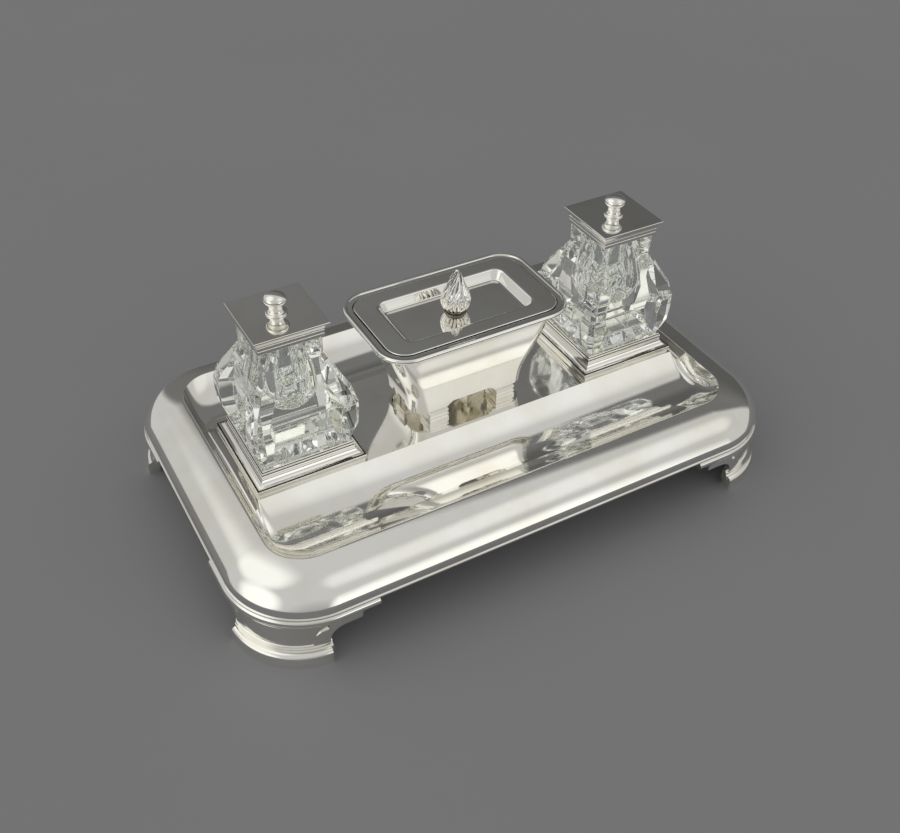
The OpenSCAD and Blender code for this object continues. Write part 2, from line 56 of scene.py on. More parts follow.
def closeUp(piece, fill=True):  # merges the seam, closes the ends, turns faces outwards
    editAll(piece)
    bpy.ops.mesh.remove_doubles(threshold=0.000004)
    if fill:
        bpy.ops.mesh.select_all(action="DESELECT")
        bpy.ops.mesh.select_non_manifold()
        bpy.ops.mesh.fill_holes(sides=0)
    bpy.ops.mesh.select_all(action="SELECT")
    bpy.ops.mesh.normals_make_consistent(inside=False)
    bpy.ops.object.mode_set(mode="OBJECT")


def loftPiece(name, rows):  # a grid shaped row by row; the last column meets the first
    clearSelection()
    across = len(rows[0])
    bpy.ops.mesh.primitive_grid_add(x_subdivisions=across, y_subdivisions=len(rows) - 1, size=1)
    piece = bpy.context.object
    piece.name = name
    for rowIndex, row in enumerate(rows):
        for column in range(across + 1):
            point = row[column % across]
            piece.data.vertices[rowIndex * (across + 1) + column].co = Vector(point) * mm
    closeUp(piece)
    return piece


def roundedRow(halfX, halfY, radius, height, steps=10, middle=1):  # loop round a rounded rectangle
    row = []
    for corner in range(4):
        signX = 1 if corner in (0, 3) else -1
        signY = 1 if corner in (0, 1) else -1
        for step in range(steps + 1):
            angle = math.radians(90 * corner + 90 * step / steps)
            row.append((signX * (halfX - radius) + radius * math.cos(angle),
                        signY * (halfY - radius) + radius * math.sin(angle), height))
    if middle < 2:
        return row
    full = []
    for index, point in enumerate(row):
        full.append(point)
        if index % (steps + 1) == steps:  # end of a corner: cut up the straight side
            after = row[(index + 1) % len(row)]
            for cut in range(1, middle):
                share = cut / middle
                full.append(tuple(a + (b - a) * share for a, b in zip(point, after)))
    return full


def squareRow(half, height, centre=(0.0, 0.0)):
    return [(centre[0] + half, centre[1] - half, height), (centre[0] + half, centre[1] + half, height),
            (centre[0] - half, centre[1] + half, height), (centre[0] - half, centre[1] - half, height)]


def arcPoints(start, end, lean, steps):  # arc that leaves the chord by the angle lean, in degrees
    a, b = Vector(start), Vector(end)
    chord = b - a
    side = math.radians(lean)
    radius = chord.length / (2 * math.sin(side))
    turn = math.atan2(chord.y, chord.x) + math.pi / 2
    centre = (a + b) / 2 - radius * math.cos(side) * Vector((math.cos(turn), math.sin(turn)))
    points = []
    for step in range(steps + 1):
        angle = turn + side - 2 * side * step / steps
        points.append((centre.x + radius * math.cos(angle), centre.y + radius * math.sin(angle)))
    return points


def bowPoints(start, first, second, end, steps):  # smooth curve drawn by two handles
    points = []
    for step in range(steps + 1):
        t = step / steps
        share = ((1 - t) ** 3, 3 * t * (1 - t) ** 2, 3 * t * t * (1 - t), t ** 3)
        points.append(tuple(sum(w * p[axis] for w, p in zip(share, (start, first, second, end)))
                            for axis in (0, 1)))
    return points


def sweepFrame(name, profile, halfX, halfY, radius, steps=28):  # profile of (out, height) carried round
    clearSelection()
    bpy.ops.mesh.primitive_circle_add(vertices=len(profile), radius=1, fill_type="NOTHING")
    piece = bpy.context.object
    piece.name = name
    for vertex, point in zip(piece.data.vertices, profile):
        vertex.co = Vector((halfX + point[0], -(halfY - radius), point[1])) * mm
    editAll(piece)
    straightX, straightY = (halfX - radius) * mm, (halfY - radius) * mm
    corners = [(1, 1, (0, 1)), (-1, 1, (-1, 0)), (-1, -1, (0, -1)), (1, -1, (1, 0))]
    for signX, signY, heading in corners:
        length = 2 * (straightY if heading[0] == 0 else straightX)
        bpy.ops.mesh.extrude_region_move(
            TRANSFORM_OT_translate={"value": (heading[0] * length, heading[1] * length, 0)})
        bpy.ops.mesh.spin(steps=steps, angle=math.radians(-90), use_auto_merge=False,
                          center=(signX * straightX, signY * straightY, 0), axis=(0, 0, 1))
    bpy.ops.object.mode_set(mode="OBJECT")
    closeUp(piece, fill=False)
    return piece


def turnPiece(name, profile, centre, steps=72):  # lathe work from (radius, height) points, axis to axis
    clearSelection()
    rows = []
    for radius, height in profile:
        row = []
        for step in range(steps):
            angle = 2 * math.pi * step / steps
            row.append((centre[0] + radius * math.cos(angle), centre[1] + radius * math.sin(angle), height))
        rows.append(row)
    return loftPiece(name, rows)


def applyBevel(piece, width, segments=2, angle=30):
    clearSelection()
    piece.select_set(True)
    bpy.context.view_layer.objects.active = piece
    bevel = piece.modifiers.new("softEdges", "BEVEL")
    bevel.width = width * mm
    bevel.segments = segments
    bevel.limit_method = "ANGLE"
    bevel.angle_limit = math.radians(angle)
    bevel.use_clamp_overlap = True
    bevel.harden_normals = False
    bpy.ops.object.modifier_apply(modifier=bevel.name)


def smoothShade(piece, angle=32):
    clearSelection()
    piece.select_set(True)
    bpy.context.view_layer.objects.active = piece
    bpy.ops.object.shade_smooth_by_angle(angle=math.radians(angle))
    weighted = piece.modifiers.new("evenNormals", "WEIGHTED_NORMAL")
    weighted.keep_sharp = True
    weighted.weight = 80
    bpy.ops.object.modifier_apply(modifier=weighted.name)


def cutAway(piece, cutter, operation="DIFFERENCE"):
    clearSelection()
    piece.select_set(True)
    bpy.context.view_layer.objects.active = piece
    cut = piece.modifiers.new("cut", "BOOLEAN")
    cut.operation = operation
    cut.solver = "EXACT"
    cut.object = cutter
    bpy.ops.object.modifier_apply(modifier=cut.name)
    bpy.data.objects.remove(cutter, do_unlink=True)


def copyNode(nodeName, pieceName):  # merged copy of a CAD node, to be refined
    clearSelection()
    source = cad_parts[nodeName]
    piece = source.copy()
    piece.data = source.data.copy()
    piece.name = pieceName
    piece.parent = None
    bpy.context.scene.collection.objects.link(piece)
    piece.matrix_world = Matrix.Identity(4)
    for key in list(piece.keys()):
        del piece[key]
    editAll(piece)
    bpy.ops.mesh.customdata_custom_splitnormals_clear()  # the loaded shading, made anew in smoothShade
    bpy.ops.mesh.remove_doubles(threshold=0.000002)
    bpy.ops.mesh.tris_convert_to_quads()
    bpy.ops.object.mode_set(mode="OBJECT")
    return piece


def finishPiece(piece, material, body, slotName, *nodes, second=None, chosen=None):
    piece.data.materials.clear()
    piece.data.materials.append(material)
    if second:  # faces picked by their centre, in millimetres, take the second finish
        piece.data.materials.append(second)
        for polygon in piece.data.polygons:
            if chosen(polygon.center / mm):
                polygon.material_index = 1
    if nodes:
        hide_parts(*nodes)
    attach(piece, body)
    return piece


silverLook = {
    "pale": (0.93, 0.92, 0.89, 1.0),
    "warm": (0.87, 0.85, 0.79, 1.0),  # faint tarnish
    "roughLow": 0.035,
    "roughHigh": 0.11,
    "ripple": 0.012,  # hand-raised waviness
    "scratch": 0.02,
    "cloudScale": 28.0, "fineScale": 420.0, "rippleScale": 34.0, "scratchScale": 900.0,
}


def addNode(tree, kind, place, **values):
    node = tree.nodes.new(kind)
    node.location = place
    for key, value in values.items():
        setattr(node, key, value)
    return node


def startMaterial(name):
    material = bpy.data.materials.new(name)
    material.use_nodes = True
    return material, material.node_tree, material.node_tree.nodes["Principled BSDF"]


def addNoise(tree, coords, place, scale, detail=2.0):
    noise = addNode(tree, "ShaderNodeTexNoise", place)
    noise.inputs["Scale"].default_value = scale
    noise.inputs["Detail"].default_value = detail
    tree.links.new(coords.outputs["Object"], noise.inputs["Vector"])
    return noise


def addBump(tree, noise, place, strength, distance):
    bump = addNode(tree, "ShaderNodeBump", place)
    bump.inputs["Strength"].default_value = strength
    bump.inputs["Distance"].default_value = distance
    tree.links.new(noise.outputs["Fac"], bump.inputs["Height"])
    return bump


def polishedSilver(name, look, rough=1.0):
    material, tree, shader = startMaterial(name)
    links = tree.links
    shader.inputs["Metallic"].default_value = 1.0
    coords = addNode(tree, "ShaderNodeTexCoord", (-1000, 0))
    cloud = addNoise(tree, coords, (-780, 220), look["cloudScale"], 5.0)
    tint = addNode(tree, "ShaderNodeValToRGB", (-560, 240))
    tint.color_ramp.elements[0].position = 0.34
    tint.color_ramp.elements[0].color = look["warm"]
    tint.color_ramp.elements[1].position = 0.56
    tint.color_ramp.elements[1].color = look["pale"]
    links.new(cloud.outputs["Fac"], tint.inputs["Fac"])
    links.new(tint.outputs["Color"], shader.inputs["Base Color"])
    fine = addNoise(tree, coords, (-780, -60), look["fineScale"], 6.0)
    fine.inputs["Roughness"].default_value = 0.6
    spread = addNode(tree, "ShaderNodeMapRange", (-520, -40))
    spread.inputs["From Min"].default_value = 0.35
    spread.inputs["From Max"].default_value = 0.7
    spread.inputs["To Min"].default_value = look["roughLow"] * rough
    spread.inputs["To Max"].default_value = look["roughHigh"] * rough
    links.new(fine.outputs["Fac"], spread.inputs["Value"])
    links.new(spread.outputs["Result"], shader.inputs["Roughness"])
    wave = addNoise(tree, coords, (-780, -340), look["rippleScale"], 1.0)
    ripple = addBump(tree, wave, (-380, -330), look["ripple"], 0.004)
    scratch = addNoise(tree, coords, (-780, -600), look["scratchScale"])
    hair = addBump(tree, scratch, (-160, -420), look["scratch"], 0.0002)
    links.new(ripple.outputs["Normal"], hair.inputs["Normal"])
    links.new(hair.outputs["Normal"], shader.inputs["Normal"])
    return material


glassLook = {
    "tint": (0.974, 0.991, 0.979, 1.0),
    "bend": 1.53,
    "haze": 0.004,
    "hazeHigh": 0.012,
    "smearScale": 160.0, "waveScale": 60.0, "waveStrength": 0.03,
}


def cutGlass(name, look):
    material, tree, shader = startMaterial(name)
    shader.inputs["Base Color"].default_value = look["tint"]
    shader.inputs["Transmission Weight"].default_value = 1.0
    shader.inputs["IOR"].default_value = look["bend"]
    coords = addNode(tree, "ShaderNodeTexCoord", (-900, 0))
    smear = addNoise(tree, coords, (-700, 0), look["smearScale"], 4.0)
    spread = addNode(tree, "ShaderNodeMapRange", (-460, 0))
    spread.inputs["From Min"].default_value = 0.5
    spread.inputs["From Max"].default_value = 0.8
    spread.inputs["To Min"].default_value = look["haze"]
    spread.inputs["To Max"].default_value = look["hazeHigh"]
    tree.links.new(smear.outputs["Fac"], spread.inputs["Value"])
    tree.links.new(spread.outputs["Result"], shader.inputs["Roughness"])
    wave = addNoise(tree, coords, (-700, -300), look["waveScale"], 1.0)
    bump = addBump(tree, wave, (-300, -280), look["waveStrength"], 0.002)
    tree.links.new(bump.outputs["Normal"], shader.inputs["Normal"])
    return material


brassLook = {
    "dark": (0.42, 0.31, 0.15, 1.0),
    "light": (0.78, 0.62, 0.34, 1.0),
    "roughLow": 0.2,
    "roughHigh": 0.45,
    "cloudScale": 300.0,
}


def agedBrass(name, look):
    material, tree, shader = startMaterial(name)
    links = tree.links
    shader.inputs["Metallic"].default_value = 1.0
    coords = addNode(tree, "ShaderNodeTexCoord", (-900, 0))
    cloud = addNoise(tree, coords, (-700, 0), look["cloudScale"], 5.0)
    tint = addNode(tree, "ShaderNodeValToRGB", (-480, 100))
    tint.color_ramp.elements[0].color = look["dark"]
    tint.color_ramp.elements[1].color = look["light"]
    links.new(cloud.outputs["Fac"], tint.inputs["Fac"])
    links.new(tint.outputs["Color"], shader.inputs["Base Color"])
    spread = addNode(tree, "ShaderNodeMapRange", (-480, -160))
    spread.inputs["To Min"].default_value = look["roughLow"]
    spread.inputs["To Max"].default_value = look["roughHigh"]
    links.new(cloud.outputs["Fac"], spread.inputs["Value"])
    links.new(spread.outputs["Result"], shader.inputs["Roughness"])
    return material


# painted shade: dark warm silver for the grooves between the flame tongues and for the finial collar
grooveShadeLook = {**silverLook, "pale": (0.24, 0.225, 0.19, 1.0), "warm": (0.15, 0.13, 0.095, 1.0)}
# painted shade: near-black silver for the gap round the lid and the bottoms of the gallery's fillet grooves
creviceShadeLook = {**silverLook, "pale": (0.06, 0.055, 0.05, 1.0), "warm": (0.04, 0.035, 0.03, 1.0)}
silver = polishedSilver("polishedSilver", silverLook)
castSilver = polishedSilver("castSilver", silverLook, rough=1.4)
plateSilver = polishedSilver("satinPlate", silverLook, rough=1.1)
glass = cutGlass("cutGlass", glassLook)
brass = agedBrass("agedBrass", brassLook)
# painted shade for the finial's grooves and its collar
grooveShade = polishedSilver("paintedGrooveShade", grooveShadeLook, rough=3.0)
# painted shade for the lid gap and the gallery's groove lines
creviceShade = polishedSilver("paintedCreviceShade", creviceShadeLook, rough=6.0)
print("materials ready")


tray = {
    "deckHalfX": 141.5, "deckHalfY": 81.0, "creaseRadius": 20.5, "deckHeight": 51.0,
    "platformHalfX": 133.5, "platformHalfY": 32.0,
    "troughDepth": 9.0, "gutterDepth": 4.0,
    "domeRun": 23.4, "domeFoot": 34.6, "ledgeTop": 33.2, "ledgeOut": 24.0, "ledgeUnder": 32.2,
    "domeHandles": [(10.0, 1.5), (6.9, 3.0)], "insideHandles": [(9.0, 2.9), (4.4, 6.0)],  # in from an end, down
    "sheet": 1.4, "seatHeight": 44.0, "seatWidth": 0.9,
    "panSheet": 1.8, "panSeam": 0.45, "edgeRound": 0.3, "cornerPull": 20.0,
}


def buildBorder(t):
    top = t["deckHeight"]
    run, foot, sheet = t["domeRun"], t["domeFoot"], t["sheet"]
    (first, firstDrop), (second, secondDrop) = t["domeHandles"]
    dome = bowPoints((0.0, top), (first, top - firstDrop), (run - second, top - secondDrop),
                     (run - 0.8, foot + 4.4), 48)
    dome += [(run - 0.45, foot + 3.85), (run - 0.15, foot + 3.15), (run, foot + 2.3), (run, foot)]
    (first, firstDrop), (second, secondDrop) = t["insideHandles"]
    inside = bowPoints((sheet, top - 1.5 * sheet), (first, top - firstDrop), (run - second, top - secondDrop),
                       (run - sheet - 0.2, t["ledgeUnder"]), 26)
    ridge = [(-0.55, top - 0.9), (-0.52, top - 0.36), (-0.3, top - 0.14), (-0.02, top - 0.05)]
    rim, high, low = t["ledgeOut"], t["ledgeTop"], t["ledgeUnder"]
    ledge = [(run, high + 0.15), (run + 0.15, high), (rim - 0.15, high), (rim, high - 0.15),
             (rim, low + 0.1), (rim - 0.1, low)]
    seat, inward = t["seatHeight"], -t["seatWidth"]
    web = [(sheet, seat - 1), (inward, seat - 1), (inward, seat - 0.1), (-0.05, seat - 0.1), (-0.05, top - 0.9)]
    profile = ridge + dome[1:] + ledge + inside[::-1] + web
    piece = sweepFrame("trayBorder", profile, t["deckHalfX"], t["deckHalfY"], t["creaseRadius"], steps=36)
    smoothShade(piece, 30)
    return piece


def panLoops(t, shares, drop):  # loops from the border's crease in to the platform's edge
    outer, inner = [], []
    steps, lead, straightCuts = 26, 8, 16
    fine = t["edgeRound"]
    cornerX, cornerY = t["deckHalfX"] - t["creaseRadius"], t["deckHalfY"] - t["creaseRadius"]
    radius = t["creaseRadius"] - t["panSeam"]
    for corner in range(4):
        signX = 1 if corner in (0, 3) else -1
        signY = 1 if corner in (0, 1) else -1
        points = []
        for step in range(steps + lead + 1):
            angle = math.radians(90 * max(0, step - lead) / steps)
            y = cornerY + radius * math.sin(angle) - max(0, lead - step) * t["cornerPull"] / lead
            bend = math.radians(90 * step / (steps + lead))
            points.append(((signX * (cornerX + radius * math.cos(angle)), signY * y),
                           (signX * (t["platformHalfX"] - fine + fine * math.cos(bend)),
                            signY * (t["platformHalfY"] - fine + fine * math.sin(bend)))))
        if corner % 2:
            points.reverse()
        outer += [p[0] for p in points]
        inner += [p[1] for p in points]
        nextSign = ((-1, 1), (-1, -1), (1, -1), (1, 1))[corner]
        ends = [(nextSign[0] * abs(point[0]), nextSign[1] * abs(point[1])) for point in points[-1]]
        for cut in range(1, straightCuts):  # straight side up to the next corner
            for loop, last, end in ((outer, points[-1][0], ends[0]), (inner, points[-1][1], ends[1])):
                loop.append(tuple(a + (b - a) * cut / straightCuts for a, b in zip(last, end)))
    rows = []
    for share in shares:
        row = []
        for a, b in zip(outer, inner):
            width = math.dist(a, b)
            depth = min(t["troughDepth"], t["gutterDepth"] * math.sqrt(width / 8.0))
            height = t["deckHeight"] - 4 * share * (1 - share) * depth
            row.append((a[0] + (b[0] - a[0]) * share, a[1] + (b[1] - a[1]) * share, height - drop))
        rows.append(row)
    return rows


def buildPan(t):
    across = 52
    shares = [0.5 - 0.5 * math.cos(math.pi * k / across) for k in range(across + 1)]
    under = panLoops(t, shares[::-2], t["panSheet"])
    over = panLoops(t, shares, 0.0)
    piece = loftPiece("trayWell", under + over)
    smoothShade(piece, 24)
    return piece


finishPiece(buildBorder(tray), silver, "tray", "silver", "tray_border")
finishPiece(buildPan(tray), silver, "tray", "silver", "tray_well")
print("tray border and pan built")

for place in ("front_left", "front_right", "back_left", "back_right"):
    foot = copyNode("foot_" + place, "bracketFoot_" + place)
    smoothShade(foot, 26)
    finishPiece(foot, castSilver, "tray", "silver", "foot_" + place)
print("bracket feet built")


gallery = {
    "centre": 101.8, "height": 12.0, "pocket": 23.0, "base": 51.0,
    "foot": [(30.3, 0.0), (30.3, 1.1), (30.9, 1.3), (30.9, 2.45), (30.55, 2.56), (30.55, 2.8), (30.9, 2.91),
             (30.9, 3.9), (30.7, 4.0), (29.9, 4.05)],
    "cove": [(30.0, 4.15), (27.6, 4.5), (26.3, 6.4), (26.2, 9.1)],
    "lip": [(26.1, 9.2), (25.8, 9.22), (25.8, 9.8), (26.3, 9.95), (26.3, 10.9), (26.05, 11.05), (25.7, 11.1),
            (25.7, 11.8), (25.5, 12.0)],
    # painted shade: thin bands at these heights, each given with its half width, take the near-black silver
    "paintedShadeLines": ((2.68, 0.11), (4.03, 0.07), (9.21, 0.07), (9.88, 0.1), (11.08, 0.07)),
}


def buildGallery(name, side, g):
    profile = g["foot"] + bowPoints(*g["cove"], 14) + g["lip"]
    profile += [(g["pocket"], g["height"]), (g["pocket"], 0.0)]
    rows = [squareRow(half, g["base"] + up, (side * g["centre"], 0.0)) for half, up in profile]
    rows.append(rows[0])
    piece = loftPiece(name, rows)
    applyBevel(piece, 0.08, 2, 35)
    smoothShade(piece, 30)
    return piece


# painted shade goes on the faces at the bottom of a fillet's groove
def inPaintedShadeLine(g, centre):  # at the bottom of a fillet's groove
    return any(abs(centre.z - g["base"] - line) < half for line, half in g["paintedShadeLines"])


# the galleries take painted shade in their fillet grooves
for sideName, side in (("left", -1), ("right", 1)):
    finishPiece(buildGallery(sideName + "Gallery", side, gallery), silver, "tray", "silver",
                sideName + "_gallery", second=creviceShade, chosen=lambda c: inPaintedShadeLine(gallery, c))
print("galleries built")


box = {
    "rimHalfX": 57.5, "rimHalfY": 35.0, "rimRadius": 17.0, "rimTop": 110.4,
    "rimHeight": 3.4, "rimWidth": 5.2, "gap": 0.55, "base": 58.0, "floor": 62.0, "wall": 1.4,
    "lidSeat": 2.0, "lidSheet": 1.2, "panelDepth": 4.85, "panelInset": (13.0, 10.0),
    "bodyLow": (35.2, 19.8, 8.5), "bodySpread": (15.3, 9.7, 4.5),  # half length, half width, corner radius
    "wallCurve": [(0.0, 0.0), (0.18, 0.06), (0.32, 0.23), (0.5, 0.47), (0.72, 0.75), (1.0, 1.0)],
    "apron": [(-16.0, -2.0), (-16.0, 0.0), (-14.6, 0.35), (-14.0, 1.5), (-12.9, 1.9), (-12.5, 2.5), (-11.5, 2.9)],
    "endApron": 0.55,
    "foot": [  # inset, width, bottom and top of each step
        (0.0, 12.2, 51.0, 52.8), (0.5, 11.2, 52.8, 54.1), (0.0, 12.2, 54.1, 55.2),
        (0.6, 11.0, 55.2, 56.6), (0.2, 11.8, 56.6, 58.0),
    ],
    "footCorner": (27.6, 22.0), "footPeg": 4.1,
}


def along(curve, share):
    for (a, low), (b, high) in zip(curve, curve[1:]):
        if share <= b:
            return low + (high - low) * (share - a) / (b - a)
    return curve[-1][1]


def smoothAlong(curve, share, reach=0.24):  # averages the broken line into a fair curve
    total = weights = 0.0
    for k in range(-10, 11):
        weight = math.cos(math.pi * k / 22) ** 2
        total += weight * along(curve, min(1.0, max(0.0, share + reach * k / 10)))
        weights += weight
    return total / weights


def bodyRow(b, share, inset):  # loop round the box body at a share of its height
    height = b["base"] + (b["rimTop"] - b["rimHeight"] - b["base"]) * share
    f = smoothAlong(b["wallCurve"], share)
    sizes = [low + spread * f - inset for low, spread in zip(b["bodyLow"], b["bodySpread"])]
    return roundedRow(*sizes, height, 14)


def buildBoxBody(b):
    shares = [k / 40 for k in range(41)]
    rows = [bodyRow(b, share, 0.0) for share in shares]
    inside = [bodyRow(b, share, b["wall"]) for share in shares[::-1]]
    rows += [row for row in inside if row[0][2] >= b["floor"] + b["wall"]]
    piece = loftPiece("boxBody", rows)
    halfX, halfY, radius = b["bodyLow"]
    hollow = (halfX - b["wall"], halfY - b["wall"], radius - 1.5)
    cutAway(piece, loftPiece("hollow", [roundedRow(*hollow, height, 14) for height in (b["base"] - 2, b["floor"])]))
    arch = b["apron"] + [(-x, z) for x, z in b["apron"][::-1]]
    past = b["rimHalfX"] + 12.5  # cutters reach clear of the box
    cutAway(piece, loftPiece("arch", [[(x, reach, b["base"] + z) for x, z in arch] for reach in (-past, past)]))
    cutAway(piece, loftPiece("endArch", [[(reach, x * b["endApron"], b["base"] + z) for x, z in arch]
                                         for reach in (-past, past)]))
    smoothShade(piece, 34)
    return piece


def buildBoxRim(b):
    top, width = b["rimTop"], b["rimWidth"]
    low = top - b["rimHeight"]
    profile = [(-width - 4.3, low), (-3.4, low), (-2.2, low + 0.15), (-1.4, low + 0.5), (-0.5, low + 1.1)]
    profile += arcPoints((-0.2, low + 1.4), (-2.0, top), -70, 14)
    profile += [(-2.35, top - 0.1), (-2.55, top - 0.35), (-2.65, top - 0.58), (-2.85, top - 0.64),
                (-width + 0.4, top - 0.64), (-width + 0.1, top - 0.72), (-width, top - 0.95),
                (-width, top - b["lidSeat"]), (-width - 4.3, top - b["lidSeat"])]
    piece = sweepFrame("boxRim", profile, b["rimHalfX"], b["rimHalfY"], b["rimRadius"], steps=26)
    smoothShade(piece, 34)
    return piece


def buildBoxLid(b):
    halfX = b["rimHalfX"] - b["rimWidth"] - b["gap"]
    halfY = b["rimHalfY"] - b["rimWidth"] - b["gap"]
    radius = b["rimRadius"] - b["rimWidth"] - b["gap"]
    seat, up = b["rimTop"] - b["lidSeat"], b["rimTop"] - 0.05
    floor = up - b["panelDepth"]
    panelX, panelY = halfX - b["panelInset"][0], halfY - b["panelInset"][1]
    sheet = b["lidSheet"]
    stack = [
        (panelX - 3.2 + sheet, panelY - 3.2 + sheet, 3.0, floor - sheet),
        (panelX - 2.4 + sheet, panelY - 2.4 + sheet, 4.0, floor - 0.8 * sheet),
        (panelX + sheet + 0.2, panelY + sheet + 0.2, 5.6, seat - 0.5),
        (panelX + sheet + 1.0, panelY + sheet + 1.0, 6.2, seat),
        (halfX - 0.2, halfY - 0.2, radius - 0.2, seat),
        (halfX, halfY, radius, seat + 0.2),
        (halfX, halfY, radius, up - 0.45),
        (halfX - 0.06, halfY - 0.06, radius - 0.06, up - 0.22),
        (halfX - 0.2, halfY - 0.2, radius - 0.2, up - 0.07),
        (halfX - 0.45, halfY - 0.45, radius - 0.45, up),
        (halfX - 1.2, halfY - 1.2, radius - 1.2, up),
        (panelX + 2.0, panelY + 2.0, 6.6, up),
        (panelX + 1.3, panelY + 1.3, 6.2, up - 0.04),
        (panelX + 0.7, panelY + 0.7, 5.8, up - 0.18),
        (panelX + 0.3, panelY + 0.3, 5.5, up - 0.45),
        (panelX, panelY, 5.2, up - 0.85),
        (panelX - 2.1, panelY - 2.1, 4.2, floor + 0.75),
        (panelX - 2.35, panelY - 2.35, 4.0, floor + 0.35),
        (panelX - 2.7, panelY - 2.7, 3.8, floor + 0.1),
        (panelX - 3.3, panelY - 3.3, 3.6, floor),
        (panelX - 4.5, panelY - 4.5, 3.0, floor),
    ]
    piece = loftPiece("boxLid", [roundedRow(*entry, 14) for entry in stack])
    smoothShade(piece, 34)
    return piece


# picks the faces that take painted shade in the gap between lid and rim
def inGap(centre, b, outside):  # near the seam between lid and rim
    half = (b["rimHalfX"] - b["rimWidth"] + outside, b["rimHalfY"] - b["rimWidth"] + outside)
    radius = b["rimRadius"] - b["rimWidth"] + outside
    over = [max(0.0, abs(value) - (size - radius)) for value, size in zip((centre.x, centre.y), half)]
    return -0.9 < math.hypot(*over) - radius < 0.3


def buildBoxFoot(name, signX, signY, b):
    cornerX, cornerY = b["footCorner"]
    rows = []
    for inset, width, low, high in b["foot"]:
        half = width / 2
        centre = (signX * (cornerX - inset - half), signY * (cornerY - inset - half))
        rows += [squareRow(half, low, centre), squareRow(half, high, centre)]
    centre = (signX * (cornerX - 6.3), signY * (cornerY - 8.3))  # the peg goes up inside the apron
    rows += [squareRow(b["footPeg"], b["base"], centre), squareRow(b["footPeg"], b["floor"], centre)]
    piece = loftPiece(name, rows)
    applyBevel(piece, 0.22, 3, 35)
    smoothShade(piece, 30)
    return piece


finishPiece(buildBoxBody(box), silver, "tray", "silver", "box_body")
# rim and lid faces inside the gap between them take painted shade
finishPiece(buildBoxRim(box), silver, "tray", "silver", "box_rim", second=creviceShade,
            chosen=lambda c: box["rimTop"] - 2.5 < c.z < box["rimTop"] - 0.9 and inGap(c, box, 0.12))
finishPiece(buildBoxLid(box), silver, "box_cover", "silver", "box_lid", second=creviceShade,
            chosen=lambda c: box["rimTop"] - 1.9 < c.z < box["rimTop"] - 0.6 and inGap(c, box, -0.4))
for place, signX, signY in (("front_left", -1, -1), ("front_right", 1, -1),
                            ("back_left", -1, 1), ("back_right", 1, 1)):
    finishPiece(buildBoxFoot("boxFoot_" + place, signX, signY, box), castSilver, "tray", "silver",
                "box_foot_" + place)
print("box built")


finial = {
    "base": 107.5, "height": 24.6, "radius": 8.25, "lean": 0.45,
    "tongues": [  # start, tip, count, first angle, curl, lift
        (-0.12, 0.46, 6, 12.0, 14.0, 0.19),
        (0.02, 0.74, 5, 34.0, 48.0, 0.16),
        (0.16, 0.92, 5, 2.0, 70.0, 0.15),
        (0.36, 1.03, 4, 40.0, 80.0, 0.17),
    ],
    "curve": [(0.0, 0.60), (0.05, 0.80), (0.11, 0.93), (0.18, 0.99), (0.25, 1.0), (0.33, 0.97), (0.43, 0.86),
              (0.55, 0.70), (0.67, 0.56), (0.79, 0.43), (0.9, 0.28), (0.96, 0.17), (1.0, 0.04)],
    "core": 0.86, "grooveBelow": 0.045, "levels": 125, "around": 240,
}


def tongueLift(share, angle, tongue):  # height of one ring of curling flame tongues at a point
    start, tip, count, first, curl, lift = tongue
    part = (share - start) / (tip - start)
    if not 0.0 < part < 1.0:
        return 0.0
    pitch = 360.0 / count
    middle = first + curl * part * part + 7.0 * math.sin(2 * math.pi * part)
    offset = (math.degrees(angle) - middle + pitch / 2) % pitch - pitch / 2
    wide = pitch * 0.5 * math.sin(math.pi * part ** 0.66) ** 0.7 + 0.5
    across = abs(offset) / wide
    if across >= 1.0:
        return 0.0
    rim = math.exp(-((across - 0.72) / 0.15) ** 2)
    vein = 0.75 * math.exp(-(across / 0.16) ** 2)
    edge = min(1.0, (1.0 - across) / 0.1)
    return lift * edge * (0.2 + 0.8 * max(rim, vein)) * (1.0 - 0.25 * part)


def finialLift(f, share, angle):
    return max(tongueLift(share, angle, tongue) for tongue in f["tongues"])


def inGroove(f, centre):  # between the flame tongues
    share = (centre.z - f["base"]) / f["height"]
    angle = math.atan2(centre.y, centre.x - f["lean"] * share * share)
    return 0.02 < share < 0.97 and finialLift(f, share, angle) < f["grooveBelow"]


def buildFinial(f):
    rows = []
    for level in range(f["levels"] + 1):
        share = level / f["levels"]
        reach = smoothAlong(f["curve"], share, 0.05) * f["radius"]
        row = []
        for step in range(f["around"]):
            angle = 2 * math.pi * step / f["around"]
            out = reach * (f["core"] + finialLift(f, share, angle))
            row.append((out * math.cos(angle) + f["lean"] * share * share, out * math.sin(angle),
                        f["base"] + share * f["height"]))
        rows.append(row)
    piece = loftPiece("flameFinial", rows)
    smoothShade(piece, 60)
    return piece


# the grooves between the flame tongues take the painted groove shade
finishPiece(buildFinial(finial), silver, "box_cover", "silver", "flame_finial", second=grooveShade,
            chosen=lambda c: inGroove(finial, c))
print("finial built")


bottle = {
    "centre": 101.8, "half": 29.5, "foot": 22.6, "base": 51.0, "start": 63.4, "top": 134.4,
    "neck": 16.5, "neckFrom": 0.87, "mouth": 9.0, "well": 14.2, "wellCuts": 192,
    "swell": [  # share of the half width, share of the height
        (0.866, 0.01), (0.983, 0.165), (1.0, 0.28), (1.0, 0.38), (0.915, 0.51), (0.78, 0.61),
    ],
    "fluteFloor": 21.2, "fluteFlare": 0.39, "fluteDrop": 0.7, "cornerCut": 1.7,
    "fluteHalf": [(0.1, 17.5), (0.255, 14.8), (0.39, 17.0), (0.585, 12.4), (0.8, 13.5)],
}


def turnedRow(reach, height, x):  # square with its corners on the axes
    return [(x + reach, 0.0, height), (x, reach, height), (x - reach, 0.0, height), (x, -reach, height)]


